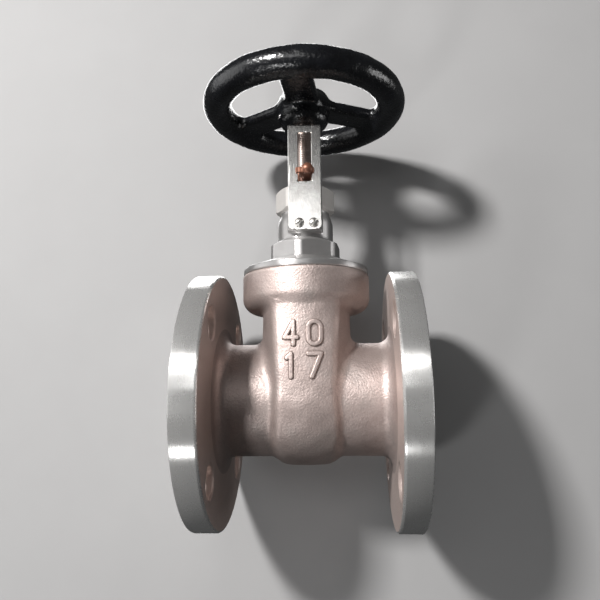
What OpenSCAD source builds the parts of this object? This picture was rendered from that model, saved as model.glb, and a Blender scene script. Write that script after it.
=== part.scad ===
// Flanged bronze gate valve with a non-rising stem, a travelling pointer and a handwheel.
// Millimetres. X is the flow axis, with the origin on the inlet flange's face. Z is the stem axis, up.

/* [Flanges and bore] */
// Outside diameter of each flange
flange_d = 120; // [112:1:130]
// Thickness of each flange
flange_t = 11.5; // [10:0.5:14]
// Distance from flange face to flange face
face_to_face = 102; // [100:1:110]
// Diameter of the flow passage
bore_d = 40; // [36:1:40]
// Diameter of the bolt circle
bolt_circle_d = 95; // [90:1:98]
// Diameter of each bolt hole
bolt_hole_d = 15; // [12:1:17]
// Number of bolt holes in each flange
bolt_count = 4; // [4:4:8]

/* [Body casting] */
// Outside diameter of the two port barrels
port_d = 52.6; // [51:0.2:56]
// Height of the joint between body and bonnet above the flow axis
joint_z = 59.3; // [59:0.1:62]
// Outside diameter of the round collar under the bonnet
collar_d = 61.6; // [60:0.2:66]
// Half width of the oval gate housing, along the flow
housing_half_x = 21; // [20:0.5:23]
// Depth of the gate housing from front to back, at its top
housing_depth = 58; // [57:1:60]
// Turn of the gate housing about the stem, in degrees
housing_turn = 2.1; // [-3:0.1:3]
// Height of each raised numeral on the housing's front
numeral_h = 12; // [8:1:12]

/* [Bonnet and gland] */
// Turn of the bonnet and its pointer plate about the stem, in degrees
bonnet_turn = 3.4; // [-10:0.2:10]
// Diameter of the bonnet's flange band
bonnet_d = 61; // [60:0.5:64]
// Width of the bonnet's hexagon across its flats
bonnet_hex = 32; // [31:0.5:33]
// Width of the gland nut's hexagon across its flats
gland_hex = 26.8; // [26:0.2:28]

/* [Stem and gate] */
// Diameter of the stem through the packing
stem_d = 12.6; // [12:0.2:13]
// Diameter of the gate disc
gate_d = 44; // [43:0.5:44]
// Thickness of the gate on the flow axis
gate_t = 18; // [17:0.5:18]
// Slope of each gate face, in degrees
gate_slope = 5; // [4:0.5:5]

/* [Pointer plate] */
// Width of the plate
plate_w = 16; // [15:0.2:18]
// Width of the slot in the plate
slot_w = 6.5; // [5.8:0.1:7]

/* [Handwheel] */
// Diameter of the rim's centre line
rim_circle_d = 88.8; // [84:0.4:96]
// Thickness of the rim
rim_t = 14.6; // [13:0.2:16]
// Height of the rim's centre above the flow axis
rim_z = 148.6; // [146:0.1:152]
// Width of each spoke
spoke_w = 16; // [13:0.5:17]
// Turn of the wheel about the stem, in degrees
wheel_turn = -3; // [-10:1:10]
// Number of spokes
spoke_count = 3; // [3:1:3]

/* [Hidden] */
$fn = 96;

// Gaps: a snug assembled joint, a running fit, and the gap beside a sliding face
snug = 0.05;
running = 0.08;
slide_gap = 0.3;
overcut = 1;

stem_x = face_to_face / 2;
flange_r = flange_d / 2;
bore_r = bore_d / 2;
port_r = port_d / 2;
port_end_x = 5;
flange_fillet_r = 5;
bolt_turn = 180 / bolt_count;

// Gate housing: its oval, the round of its front and back, and the pocket that the gate rises in
housing_oval_y = 38;
housing_front_r = 38;
housing_low_front_r = 90;
housing_bottom_r = 30.4;
housing_top_z = 40;
collar_r = collar_d / 2;
collar_low_z = 41;
collar_edge_r = 6.5;
pocket_half_x = 13;
pocket_r = 24;
numeral_w = 7.5;
numeral_gap = 3;
numeral_bar = 1.9;
numeral_raise = 0.8;
numeral_shift = -1.2;
numeral_front_r = 55;
upper_number_z = 23;
lower_number_z = 8.8;

// Threaded mouth of the body and the bonnet's spigot in it
mouth_r = 25.8;
mouth_z = 50;
spigot_z = 52;
spigot_bore_r = 22.3;

// Bonnet levels, going up the stem
bonnet_r = bonnet_d / 2;
band_top_z = 62.6;
hex_low_z = 66.7;
hex_top_z = 76.2;
hex_turn = 18.6;
hex_corner_r = 17.5;
skirt_top_r = 18.6;
drum_r = 13.7;
drum_top_z = 86;
drum_chamfer = 4.2;
neck_r = 12;
neck_top_z = 97;
chamber_r = 11.2;
chamber_low_z = 66;
chamber_top_z = 82;
stuffing_r = 9;
stuffing_z = 85;

// Gland nut and what it presses on
packing_top_z = 91;
gland_low_z = 91;
gland_top_z = 103.5;
gland_head_z = 100.2;
gland_corner_r = 14.6;
gland_chamfer = 2.6;
gland_bush_flange_r = 10.6;

// Stem levels
stem_r = stem_d / 2;
stem_bottom_z = 23;
screw_r = 5;
screw_top_z = 77.4;
thrust_r = 10.6;
thrust_h = 4.2;
tenon_z = 143;
tenon_half = 4.4;
stem_thread_z = 155;
stem_thread_r = 4;
stem_top_z = 160.8;

// Gate
seat_r = 23.2;
seat_depth = 15.5;
boss_r = 9.5;
boss_top_z = 33;
gate_hole_z = -20;

// Pointer plate, its pad on the bonnet and its screws
plate_back_y = 16.4;
plate_t = 1.6;
plate_low_z = 79;
plate_top_z = 131;
plate_corner_r = 2;
slot_low_z = 102.7;
slot_top_z = 127.3;
pad_top_z = 86.6;
plate_screw_z = 82.2;
plate_screw_x = 3.4;
plate_screw_shift = 0.6;
plate_screw_r = 1.5;
screw_head_r = 2.3;
screw_head_h = 1.5;
screw_length = 6;

// Pointer
pointer_low_z = 106.4;
pointer_h = 5.4;
pointer_r = 8;
pointer_arm_h = 3;
pointer_head_w = 9;
pointer_head_h = 2.6;
pointer_head_t = 1.2;
pointer_pin_r = 2.6;
pointer_pin_h = 4;
pointer_pin_x = 1.2;
pointer_pin_z = 108.6;
pointer_dome_r = 3.2;
pointer_dome_back = 0.2;

// Handwheel
rim_r = rim_circle_d / 2;
rim_section_r = rim_t / 2;
hub_r = 12.6;
hub_low_r = 9.2;
hub_low_z = 136.6;
hub_cone_z = 140;
hub_top_z = 155;
spoke_t = 5.6;
spoke_z = 149.2;
spoke_first_angle = -90;
washer_t = 1.2;
washer_r = 9;
nut_across = 13;
nut_h = 3.2;
nut_corner_r = 7.4;
hex_chamfer = 1.6;

// Places its children with Z along the stem and the origin on the flow axis
module at_stem(turn = 0) {
  translate([stem_x, 0, 0]) rotate(turn) children();
}

// Turns a shape made along Z so that it runs along X
module along_x() {
  rotate([0, 90, 0]) children();
}

// Hexagonal bar with its corners turned to a radius, and turned chamfers at its low and high ends
module turned_hex(across, corner_r, low, high, low_chamfer, high_chamfer) {
  steep = 0.6;
  intersection() {
    translate([0, 0, low]) cylinder(d = across / cos(30), h = high - low, $fn = 6);
    rotate_extrude() polygon([
      [0, low], [corner_r - low_chamfer, low], [corner_r, low + low_chamfer * steep],
      [corner_r, high - high_chamfer * steep], [corner_r - high_chamfer, high], [0, high]]);
  }
}

// Ring about Z between two radii
module ring(outer, inner, low, high) {
  difference() {
    translate([0, 0, low]) cylinder(r = outer, h = high - low);
    translate([0, 0, low - overcut]) cylinder(r = inner, h = high - low + 2 * overcut);
  }
}

// One flange with its port barrel, from the flange face towards the stem axis
module flange_and_port() {
  along_x() cylinder(r = flange_r, h = flange_t);
  along_x() cylinder(r = port_r, h = stem_x - port_end_x);
  along_x() rotate_extrude() {
    difference() {
      translate([bore_r + 2, flange_t - overcut])
        square([port_r - bore_r - 2 + flange_fillet_r, flange_fillet_r + overcut]);
      translate([port_r + flange_fillet_r, flange_t + flange_fillet_r]) circle(r = flange_fillet_r);
    }
  }
}

// Half of the housing's oval, on the +X side of its sketch, ending in a broad round at some reach
module housing_section(reach, front_r) {
  intersection() {
    scale([housing_oval_y, housing_half_x]) circle(r = 1, $fn = 48);
    translate([reach - front_r, 0]) circle(r = front_r);
    translate([0, -housing_half_x]) square([reach, 2 * housing_half_x]);
  }
}

// Outer form of the housing that the gate rises in: oval from above with broad fronts, and with a
// round bottom about the flow axis
module housing_form() {
  hull() {
    along_x() rotate_extrude($fn = 60) housing_section(housing_bottom_r, housing_low_front_r);
    translate([0, 0, housing_top_z]) linear_extrude(2)
      for (turn = [-90, 90]) rotate(turn) housing_section(housing_depth / 2, housing_front_r);
  }
}

// Round collar that the bonnet screws into
module collar_form() {
  rotate_extrude() {
    translate([0, collar_low_z]) square([collar_r - collar_edge_r, joint_z - collar_low_z]);
    translate([0, collar_low_z + collar_edge_r])
      square([collar_r, joint_z - collar_low_z - collar_edge_r]);
    intersection() {
      translate([collar_r - collar_edge_r, collar_low_z + collar_edge_r]) circle(r = collar_edge_r);
      translate([0, collar_low_z]) square([collar_r, joint_z - collar_low_z]);
    }
  }
}

// Outlines of the numerals, each standing on X with its left side at the origin
module digit_0() {
  difference() {
    round_bar(numeral_w / 2);
    round_bar(numeral_w / 2 - numeral_bar);
  }
}

// Upright bar with round ends about the centre of a numeral
module round_bar(r) {
  inset = numeral_w / 2;
  translate([inset, inset]) circle(r = r, $fn = 32);
  translate([inset, numeral_h - inset]) circle(r = r, $fn = 32);
  translate([inset - r, inset]) square([2 * r, numeral_h - 2 * inset]);
}

module digit_1() {
  middle = (numeral_w - numeral_bar) / 2;
  translate([middle, 0]) square([numeral_bar, numeral_h]);
  translate([middle, numeral_h - 3]) polygon([[-2, 0], [0.5, 0], [0.5, 3], [0, 3]]);
}

module digit_4() {
  stroke_z = numeral_h * 0.25;
  translate([numeral_w - 2 * numeral_bar, 0]) square([numeral_bar, numeral_h]);
  translate([0, stroke_z]) square([numeral_w, numeral_bar]);
  polygon([[0, stroke_z], [numeral_bar, stroke_z], [numeral_w - numeral_bar, numeral_h],
    [numeral_w - 2 * numeral_bar, numeral_h]]);
}

module digit_7() {
  translate([0, numeral_h - numeral_bar]) square([numeral_w, numeral_bar]);
  polygon([[1.5, 0], [1.5 + numeral_bar, 0], [numeral_w, numeral_h], [numeral_w - numeral_bar, numeral_h]]);
}

// Places two numerals side by side on the housing's round front, with their feet at a height
module raised_pair(foot_z) {
  part_way_up = (foot_z + numeral_h / 2) / housing_top_z;
  front_y = housing_bottom_r - (housing_bottom_r - housing_depth / 2) * part_way_up;
  for (i = [0, 1]) {
    middle_x = numeral_shift + (i - 0.5) * (numeral_w + numeral_gap);
    translate([0, numeral_front_r - front_y, foot_z]) rotate(asin(middle_x / numeral_front_r))
      translate([-numeral_w / 2, 1 - numeral_front_r, 0]) rotate([90, 0, 0])
      linear_extrude(1 + numeral_raise) children(i);
  }
}

// Plain cast numbers in two rows
module raised_numbers() {
  raised_pair(upper_number_z) {
    digit_4();
    digit_0();
  }
  raised_pair(lower_number_z) {
    digit_1();
    digit_7();
  }
}

// Space inside the body: flow passage, gate pocket, seat recesses and threaded mouth
module body_hollow() {
  translate([-overcut, 0, 0]) along_x() cylinder(r = bore_r, h = face_to_face + 2 * overcut);
  at_stem(housing_turn) {
    translate([-pocket_half_x, 0, 0]) along_x() cylinder(r = pocket_r, h = 2 * pocket_half_x);
    translate([-pocket_half_x, -pocket_r, 0]) cube([2 * pocket_half_x, 2 * pocket_r, joint_z - overcut]);
  }
  at_stem() {
    translate([-seat_depth, 0, 0]) along_x() cylinder(r = seat_r, h = 2 * seat_depth);
    translate([0, 0, mouth_z]) cylinder(r = mouth_r, h = joint_z - mouth_z + overcut);
  }
}

// Holes of both flanges, straddling the upright centre line
module flange_holes() {
  for (face = [0, face_to_face - flange_t], i = [0 : bolt_count - 1]) {
    rotate([bolt_turn + i * 360 / bolt_count, 0, 0])
      translate([face - overcut, 0, bolt_circle_d / 2]) along_x()
        cylinder(d = bolt_hole_d, h = flange_t + 2 * overcut);
  }
}

module valve_body() color("tan") {
  difference() {
    union() {
      flange_and_port();
      translate([face_to_face, 0, 0]) mirror([1, 0, 0]) flange_and_port();
      at_stem(housing_turn) {
        housing_form();
        raised_numbers();
      }
      at_stem() collar_form();
    }
    body_hollow();
    flange_holes();
  }
}

// Seat ring on the -X side of the gate, its face sloped like the gate's
module seat_ring() {
  face_x = gate_t / 2 + slide_gap;
  difference() {
    translate([-seat_depth + snug, 0, 0]) along_x()
      cylinder(r = seat_r - snug, h = seat_depth - face_x + 5);
    translate([-seat_depth - overcut, 0, 0]) along_x() cylinder(r = bore_r, h = seat_depth + 5);
    translate([-face_x, 0, 0]) rotate([0, -gate_slope, 0])
      translate([0, -bore_d, -bore_d]) cube(2 * bore_d);
  }
}

module inlet_seat_ring() color("goldenrod") at_stem() seat_ring();

module outlet_seat_ring() color("goldenrod") at_stem() mirror([1, 0, 0]) seat_ring();

module wedge_gate() color("darkgoldenrod") at_stem() {
  gate_r = gate_d / 2;
  flare = gate_r * tan(gate_slope);
  difference() {
    union() {
      intersection() {
        translate([-gate_t, 0, 0]) along_x() cylinder(r = gate_r, h = 2 * gate_t);
        translate([0, gate_r, 0]) rotate([90, 0, 0]) linear_extrude(2 * gate_r) polygon([
          [-gate_t / 2 + flare, -gate_r], [gate_t / 2 - flare, -gate_r],
          [gate_t / 2 + flare, gate_r], [-gate_t / 2 - flare, gate_r]]);
      }
      translate([0, 0, bore_r / 2]) cylinder(r = boss_r, h = boss_top_z - bore_r / 2);
    }
    translate([0, 0, gate_hole_z]) cylinder(r = screw_r + running, h = boss_top_z - gate_hole_z + overcut);
  }
}

module stem() color("peru") at_stem(wheel_turn) {
  translate([0, 0, stem_bottom_z]) cylinder(r = screw_r, h = screw_top_z - stem_bottom_z);
  translate([0, 0, screw_top_z]) cylinder(r = thrust_r, h = thrust_h);
  translate([0, 0, screw_top_z]) cylinder(r = stem_r, h = tenon_z - screw_top_z);
  translate([-tenon_half, -tenon_half, tenon_z - overcut])
    cube([2 * tenon_half, 2 * tenon_half, stem_thread_z - tenon_z + overcut]);
  translate([0, 0, stem_thread_z]) cylinder(r = stem_thread_r, h = stem_top_z - stem_thread_z);
}

// Outside of the bonnet: spigot, band, sloping skirt, hexagon, drum and neck
module bonnet_form() {
  translate([0, 0, spigot_z]) cylinder(r = mouth_r - snug, h = band_top_z - spigot_z);
  translate([0, 0, joint_z]) cylinder(r = bonnet_r, h = band_top_z - joint_z);
  translate([0, 0, band_top_z]) cylinder(r1 = bonnet_r - 1, r2 = skirt_top_r, h = hex_low_z - band_top_z);
  rotate(hex_turn) turned_hex(bonnet_hex, hex_corner_r, hex_low_z - overcut, hex_top_z, 0, 2 * hex_chamfer);
  translate([0, 0, hex_low_z]) cylinder(r = drum_r, h = drum_top_z - hex_low_z);
  translate([0, 0, drum_top_z]) cylinder(r1 = drum_r, r2 = neck_r, h = drum_chamfer);
  translate([0, 0, drum_top_z - overcut]) cylinder(r = neck_r, h = neck_top_z - drum_top_z + overcut);
  translate([-plate_w / 2, -plate_back_y, plate_low_z])
    cube([plate_w, plate_back_y, pad_top_z - plate_low_z]);
}

// Space inside the bonnet: dome for the gate, thrust chamber, stem hole and stuffing box
module bonnet_hollow() {
  translate([0, 0, spigot_z - overcut]) cylinder(r = spigot_bore_r, h = 5 + overcut);
  translate([0, 0, spigot_z + 5])
    cylinder(r1 = spigot_bore_r, r2 = chamber_r, h = chamber_low_z - spigot_z - 5);
  translate([0, 0, chamber_low_z - overcut])
    cylinder(r = chamber_r, h = chamber_top_z - chamber_low_z + overcut);
  translate([0, 0, chamber_top_z - overcut])
    cylinder(r = stem_r + running, h = stuffing_z - chamber_top_z + 2 * overcut);
  translate([0, 0, stuffing_z]) cylinder(r = stuffing_r, h = neck_top_z - stuffing_z + overcut);
}

// Threaded hole for one plate screw
module plate_screw_hole(side, r) {
  translate([plate_screw_shift + side * plate_screw_x, -plate_back_y - plate_t - overcut, plate_screw_z])
    rotate([-90, 0, 0])
    cylinder(r = r, h = screw_length + overcut, $fn = 32);
}

module bonnet() color("silver") at_stem(bonnet_turn) {
  difference() {
    bonnet_form();
    bonnet_hollow();
    for (side = [-1, 1]) plate_screw_hole(side, plate_screw_r);
  }
}

module packing_ring() color("dimgray") at_stem()
  ring(stuffing_r - snug, stem_r + running, stuffing_z, packing_top_z);

module gland_bush() color("darkgoldenrod") at_stem() {
  ring(stuffing_r - snug, stem_r + running, packing_top_z, neck_top_z);
  ring(gland_bush_flange_r, stem_r + running, neck_top_z, gland_head_z);
}

module gland_nut() color("goldenrod") at_stem() {
  difference() {
    turned_hex(gland_hex, gland_corner_r, gland_low_z, gland_top_z, gland_chamfer, gland_chamfer);
    translate([0, 0, gland_low_z - overcut])
      cylinder(r = neck_r + snug, h = gland_head_z - gland_low_z + overcut);
    translate([0, 0, gland_low_z]) cylinder(r = stem_r + running, h = gland_top_z);
  }
}

// Outline of the plate: sharp at the top, rounded at the two lower corners
module plate_outline() {
  translate([-plate_w / 2, plate_low_z + plate_corner_r])
    square([plate_w, plate_top_z - plate_low_z - plate_corner_r]);
  translate([-plate_w / 2 + plate_corner_r, plate_low_z])
    square([plate_w - 2 * plate_corner_r, plate_corner_r + overcut]);
  for (side = [-1, 1]) {
    translate([side * (plate_w / 2 - plate_corner_r), plate_low_z + plate_corner_r])
      circle(r = plate_corner_r);
  }
}

module pointer_plate() color("gainsboro") at_stem(bonnet_turn) {
  difference() {
    translate([0, -plate_back_y, 0]) rotate([90, 0, 0]) linear_extrude(plate_t) difference() {
      plate_outline();
      translate([-slot_w / 2, slot_low_z]) square([slot_w, slot_top_z - slot_low_z]);
    }
    for (side = [-1, 1]) plate_screw_hole(side, plate_screw_r + snug);
  }
}

// Slotted round-head screw in the plate; side is -1 or 1
module plate_screw(side, slot_angle) {
  translate([plate_screw_shift + side * plate_screw_x, -plate_back_y - plate_t, plate_screw_z])
    rotate([90, 0, 0]) {
    difference() {
      intersection() {
        cylinder(r = screw_head_r, h = screw_head_h, $fn = 48);
        translate([0, 0, -1.6]) sphere(r = 3.1, $fn = 48);
      }
      rotate(slot_angle) translate([-screw_head_r, -0.3, screw_head_h - 0.7])
        cube([2 * screw_head_r, 0.6, 1]);
    }
    translate([0, 0, -screw_length + 1]) cylinder(r = plate_screw_r - snug, h = screw_length - 1, $fn = 32);
  }
}

module left_plate_screw() color("silver") at_stem(bonnet_turn) plate_screw(-1, 35);

module right_plate_screw() color("silver") at_stem(bonnet_turn) plate_screw(1, 50);

// Nut that climbs the stem's fine thread, with an arm through the slot and a small cross head
module pointer_nut() color("coral") at_stem(bonnet_turn) {
  arm_w = slot_w - 2 * slide_gap;
  head_back = plate_back_y + plate_t + slide_gap;
  difference() {
    union() {
      translate([0, 0, pointer_low_z]) cylinder(r = pointer_r, h = pointer_h);
      translate([-arm_w / 2, -head_back - pointer_head_t, pointer_low_z])
        cube([arm_w, head_back, pointer_arm_h]);
      translate([-pointer_head_w / 2, -head_back - pointer_head_t, pointer_low_z + 0.2])
        cube([pointer_head_w, pointer_head_t, pointer_head_h]);
      translate([pointer_pin_x, -head_back, pointer_pin_z]) rotate([90, 0, 0]) intersection() {
        cylinder(r = pointer_pin_r, h = pointer_pin_h, $fn = 48);
        translate([0, 0, -pointer_dome_back]) sphere(r = pointer_dome_r, $fn = 48);
      }
    }
    translate([0, 0, pointer_low_z - overcut]) cylinder(r = stem_r + running, h = pointer_h + 2 * overcut);
  }
}

// One flat spoke with round edges along +X, from inside the hub to inside the rim
module spoke() {
  edge_r = spoke_t / 2;
  start = hub_r - 4;
  translate([start, 0, spoke_z]) along_x() linear_extrude(rim_r - start) {
    square([spoke_t, spoke_w - spoke_t], center = true);
    for (side = [-1, 1]) translate([0, side * (spoke_w / 2 - edge_r)]) circle(r = edge_r, $fn = 32);
  }
}

module handwheel() color("dimgray") at_stem(wheel_turn) {
  difference() {
    union() {
      translate([0, 0, rim_z]) rotate_extrude() translate([rim_r, 0]) circle(r = rim_section_r, $fn = 48);
      translate([0, 0, hub_low_z]) cylinder(r1 = hub_low_r, r2 = hub_r, h = hub_cone_z - hub_low_z);
      translate([0, 0, hub_cone_z]) cylinder(r = hub_r, h = hub_top_z - hub_cone_z);
      for (i = [0 : spoke_count - 1]) rotate(spoke_first_angle + i * 360 / spoke_count) spoke();
    }
    translate([-tenon_half - snug, -tenon_half - snug, tenon_z])
      cube([2 * (tenon_half + snug), 2 * (tenon_half + snug), hub_top_z]);
    translate([0, 0, hub_low_z - overcut]) cylinder(r = stem_r + snug, h = tenon_z - hub_low_z + overcut);
  }
}

module wheel_washer() color("silver") at_stem()
  ring(washer_r, stem_thread_r + snug, stem_thread_z, stem_thread_z + washer_t);

module wheel_nut() color("silver") at_stem() {
  low = stem_thread_z + washer_t;
  difference() {
    turned_hex(nut_across, nut_corner_r, low, low + nut_h, 0, hex_chamfer);
    translate([0, 0, low - overcut]) cylinder(r = stem_thread_r + snug, h = nut_h + 2 * overcut);
  }
}

valve_body();
inlet_seat_ring();
outlet_seat_ring();
wedge_gate();
stem();
bonnet();
packing_ring();
gland_bush();
gland_nut();
pointer_plate();
left_plate_screw();
right_plate_screw();
pointer_nut();
handwheel();
wheel_washer();
wheel_nut();
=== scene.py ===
"""Flanged bronze gate valve: cast body, machined flanges, bonnet, pointer plate and black handwheel.

Shapes are written as distance fields in millimetres from the stem's axis, at the height of the
flow axis, and contour() turns each field into a closed mesh in the row frame.
"""

import math

import bmesh
import bpy
import numpy as np
from mathutils import Matrix, Vector


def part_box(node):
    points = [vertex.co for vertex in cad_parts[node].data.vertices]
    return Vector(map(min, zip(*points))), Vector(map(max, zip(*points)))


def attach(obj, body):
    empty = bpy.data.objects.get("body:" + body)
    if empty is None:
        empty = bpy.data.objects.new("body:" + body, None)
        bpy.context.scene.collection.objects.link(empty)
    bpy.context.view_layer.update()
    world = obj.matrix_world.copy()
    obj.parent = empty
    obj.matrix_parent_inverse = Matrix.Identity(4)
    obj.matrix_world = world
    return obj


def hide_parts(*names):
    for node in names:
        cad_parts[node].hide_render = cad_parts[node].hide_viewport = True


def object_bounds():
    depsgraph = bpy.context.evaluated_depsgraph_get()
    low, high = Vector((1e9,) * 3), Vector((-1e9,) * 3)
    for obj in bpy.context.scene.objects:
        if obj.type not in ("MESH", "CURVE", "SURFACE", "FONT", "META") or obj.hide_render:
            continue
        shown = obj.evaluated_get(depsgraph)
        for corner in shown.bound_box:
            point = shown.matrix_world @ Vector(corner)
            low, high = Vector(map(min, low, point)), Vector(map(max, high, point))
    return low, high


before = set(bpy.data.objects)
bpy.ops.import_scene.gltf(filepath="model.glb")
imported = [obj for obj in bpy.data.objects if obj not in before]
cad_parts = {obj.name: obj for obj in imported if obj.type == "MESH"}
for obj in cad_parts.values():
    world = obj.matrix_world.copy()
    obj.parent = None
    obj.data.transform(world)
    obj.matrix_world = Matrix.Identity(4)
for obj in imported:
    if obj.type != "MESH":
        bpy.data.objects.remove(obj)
cad_low, cad_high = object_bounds()

MM = 0.001


def box_size(node):
    """Size of a CAD node, in millimetres."""
    low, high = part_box(node)
    return (high - low) / MM


def box_middle(node):
    """Middle of a CAD node, in millimetres."""
    low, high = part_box(node)
    return (low + high) / 2 / MM


# ---------------------------------------------------------------- sizes, in millimetres and degrees
# Flanges and ports. A cut is how far an edge's middle lies in from its corner; the flare's end lies
# proud of the flange's back at the level radius, and sinks towards it further out.
STEM_X = box_middle("stem").x
FACE = box_size("valve_body").x / 2
FLANGE_R = box_size("valve_body").y / 2
FLANGE_T = 11.5
FLANGE_STEPS = 200
FRONT_EDGE = 0.8
FRONT_EDGE_CUT = 0.25
BACK_EDGE = 1.0
BACK_EDGE_CUT = 0.35
GASKET_GROOVES_R = (27, 31, 35)
GROOVE_DEPTH = 0.4
RECESS_R = 33.0
RECESS_DEPTH = 0.85
RECESS_EDGE = 0.3
BOLT_HOLES = 4
BOLT_CIRCLE_R = 47.5
BOLT_HOLE_R = 7.5
BOLT_HOLE_STEPS = 48
BOLT_CHAMFER = 0.7
DRILL_PAST = 1
BORE_R = 20.0
PORT_R = 26.3
FLARE_R = 37.0
FLARE_EDGE_R = 0.3
FLARE_FILLET_R = 5.2
FLARE_PROUD = 0.25
FLARE_SINK = 0.06
FLARE_LEVEL_R = 30
CASTING_IN_FLANGE = 0.9

# Gate housing and collar. Many of the housing's sizes go from a low value to a high one as it rises.
HOUSING_TURN = 2.1
HOUSING_HALF_X = 21.0
HOUSING_OVAL_LOW = 40.0
HOUSING_OVAL_HIGH = 36.5
OVAL_LOW_Z = -25
OVAL_RISE = 30
HOUSING_BOTTOM_R = 30.4
HOUSING_TOP_Y = 29.0
HOUSING_LOW_FRONT_R = 90.0
HOUSING_FRONT_R = 38.0
HOUSING_FRONT_DEPTH = 12
HOUSING_EDGE_R = 1.5
HOUSING_BOTTOM_EDGE_R = 4.7
HOUSING_TOP_Z = 40.0
HOUSING_IN_COLLAR = 4
PORT_FILLET_LOW_R = 1.5
PORT_FILLET_HIGH_R = 4.4
PORT_FILLET_TOP_Z = 26
COLLAR_R = 30.8
COLLAR_LOW_Z = 41.0
COLLAR_EDGE_R = 6.5
COLLAR_SLOPE = 0.05
COLLAR_SLOPE_R = 20
COLLAR_FRONT_FILLET_R = 1.0
COLLAR_SIDE_FILLET_R = 2.6
JOINT_Z = 59.3
JOINT_EDGE_R = 1.0
POCKET_X = 13.0
POCKET_R = 24.0
SEAT_X = 15.5
SEAT_R = 23.2
MOUTH_R = 25.8
MOUTH_Z = 50.0

# Raised numbers
NUMERAL_W = 7.5
NUMERAL_H = 12.0
NUMERAL_GAP = 3.0
NUMERAL_BAR = 1.0
NUMERAL_RAISE = 1.0
NUMERAL_EDGE_R = 0.5
NUMERAL_FILLET_R = 0.4
NUMERAL_SKIRT = 0.38
NUMERAL_ROOT = 0.9
NUMERAL_SHIFT = -1.2
UPPER_NUMBER_Z = 23.0
LOWER_NUMBER_Z = 8.8

# Bonnet
BONNET_TURN = 3.4
HEX_TURN = 18.6
BONNET_R = 30.5
BAND_TOP_Z = 62.6
SKIRT_STEP = 1
SKIRT_TOP_R = 18.6
HEX_LOW_Z = 66.7
HEX_TOP_Z = 76.2
HEX_SUNK = 6
HEX_HALF = 16.0
HEX_CORNER_R = 17.5
HEX_CHAMFER = 3.2
DRUM_R = 13.7
DRUM_TOP_Z = 86.0
DRUM_CONE_Z = 90.2
NECK_R = 12.0
NECK_TOP_Z = 97.0
BONNET_FILLET_R = 0.8
SPIGOT_Z = 52.0
SPIGOT_IN_BAND = 1
SPIGOT_BORE_R = 22.3
SPIGOT_BORE_TOP_Z = 57.0
CHAMBER_R = 11.2
CHAMBER_LOW_Z = 66.0
CHAMBER_TOP_Z = 82.0
STUFFING_Z = 85.0
STUFFING_R = 9.0

# Pointer plate, its pad and its screws
PLATE_HALF_W = 8.0
PLATE_BACK_Y = 16.4
PLATE_T = 1.6
PLATE_LOW_Z = 79.0
PLATE_TOP_Z = 131.0
PLATE_FOOT_EDGE_R = 2.0
PAD_TOP_Z = 86.6
SLOT_HALF_W = 3.25
SLOT_LOW_Z = 102.7
SLOT_TOP_Z = 127.3
SCREW_X = (-2.8, 4.0)
SCREW_Z = 82.2
SCREW_ANGLES = (35, 50)
SCREW_R = 1.5
SCREW_DEPTH = 5
SCREW_HEAD_R = 2.3
SCREW_DOME_R = 3.1
SCREW_DOME_SINK = 1.6
SCREW_SLOT_HALF_W = 0.42
SCREW_SLOT_FLOOR = 0.6

# Gland nut and travelling pointer
GLAND_HALF = 13.4
GLAND_CORNER_R = 14.6
GLAND_LOW_Z = 91.0
GLAND_TOP_Z = 103.5
GLAND_THREAD_TOP_Z = 100.2
GLAND_LOW_CHAMFER = 2.6
GLAND_HIGH_CHAMFER = 2.8
POINTER_LOW_Z = 106.4
POINTER_TOP_Z = 111.8
POINTER_R = 8.0
POINTER_FRONT_Y = -PLATE_BACK_Y - PLATE_T - 0.3
ARM_GAP = 0.3
ARM_H = 3
HEAD_T = 1.2
HEAD_HALF_W = 4.5
HEAD_LOW = 0.2
HEAD_HIGH = 2.8
PIN_R = 2.6
PIN_X = 1.2
PIN_Z = 108.6
PIN_DOME_R = 3.2
PIN_DOME_SINK = 0.2

# Handwheel with its nut and washer
WHEEL_TURN = -3.0
RIM_Z = 148.6
RIM_R = 44.4
RIM_SECTION_R = 7.3
RIM_LUMP_ROOM = 0.15
HUB_R = 12.6
HUB_LOW_R = 9.2
HUB_LOW_Z = 136.6
HUB_CONE_Z = 140.0
HUB_TOP_Z = 155.0
SPOKE_HALF_W = 8.0
SPOKE_HALF_T = 2.8
SPOKE_Z = 149.2
SPOKE_ANGLES = (-90, 30, 150)
NUT_LOW_Z = 156.2
NUT_TOP_Z = 159.4
NUT_HALF = 6.5
NUT_CORNER_R = 7.4
NUT_CHAMFER = 1.2
WASHER_R = 9.0

# Stem. From below, each section has a top and a radius; a thread has a foot, a top, a pitch and a depth.
STEM_R = 6.3
TOP_THREAD_R = 4.0
STEM_LOW_Z = 23
STEM_TOP_Z = 160.8
STEM_END_H = 1
STEM_END_FALL = 0.8
THREAD_RING_GAP = 0.14
STEM_SECTIONS = ((77.4, 5.0), (81.6, 10.6), (143, STEM_R), (155, 5.9))
POINTER_THREAD = (104, 134, 1.0, 0.28)
NUT_THREAD = (156, 160.5, 1.25, 0.4)

# Play between parts that fit into each other
FIT_GAP = 0.05
STEM_GAP = 0.1
WHEEL_GAP = 0.15


# ---------------------------------------------------------------- distance fields
def length(*parts):
    """Length of a vector from its parts."""
    return np.sqrt(sum(part * part for part in parts))


def cos_sin(degrees):
    """Cosine and sine of an angle in degrees."""
    angle = math.radians(degrees)
    return math.cos(angle), math.sin(angle)


def corner(a, b, edge):
    """Space behind both faces, at distances a and b, with the edge between them rounded."""
    a, b = a + edge, b + edge
    return np.minimum(np.maximum(a, b), 0) + length(np.maximum(a, 0), np.maximum(b, 0)) - edge


def join(a, b, fillet):
    """Union of two shapes with a fillet of that radius in the crease between them."""
    outside = np.maximum(np.minimum(a, b), fillet)
    return outside - length(np.maximum(fillet - a, 0), np.maximum(fillet - b, 0))


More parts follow.
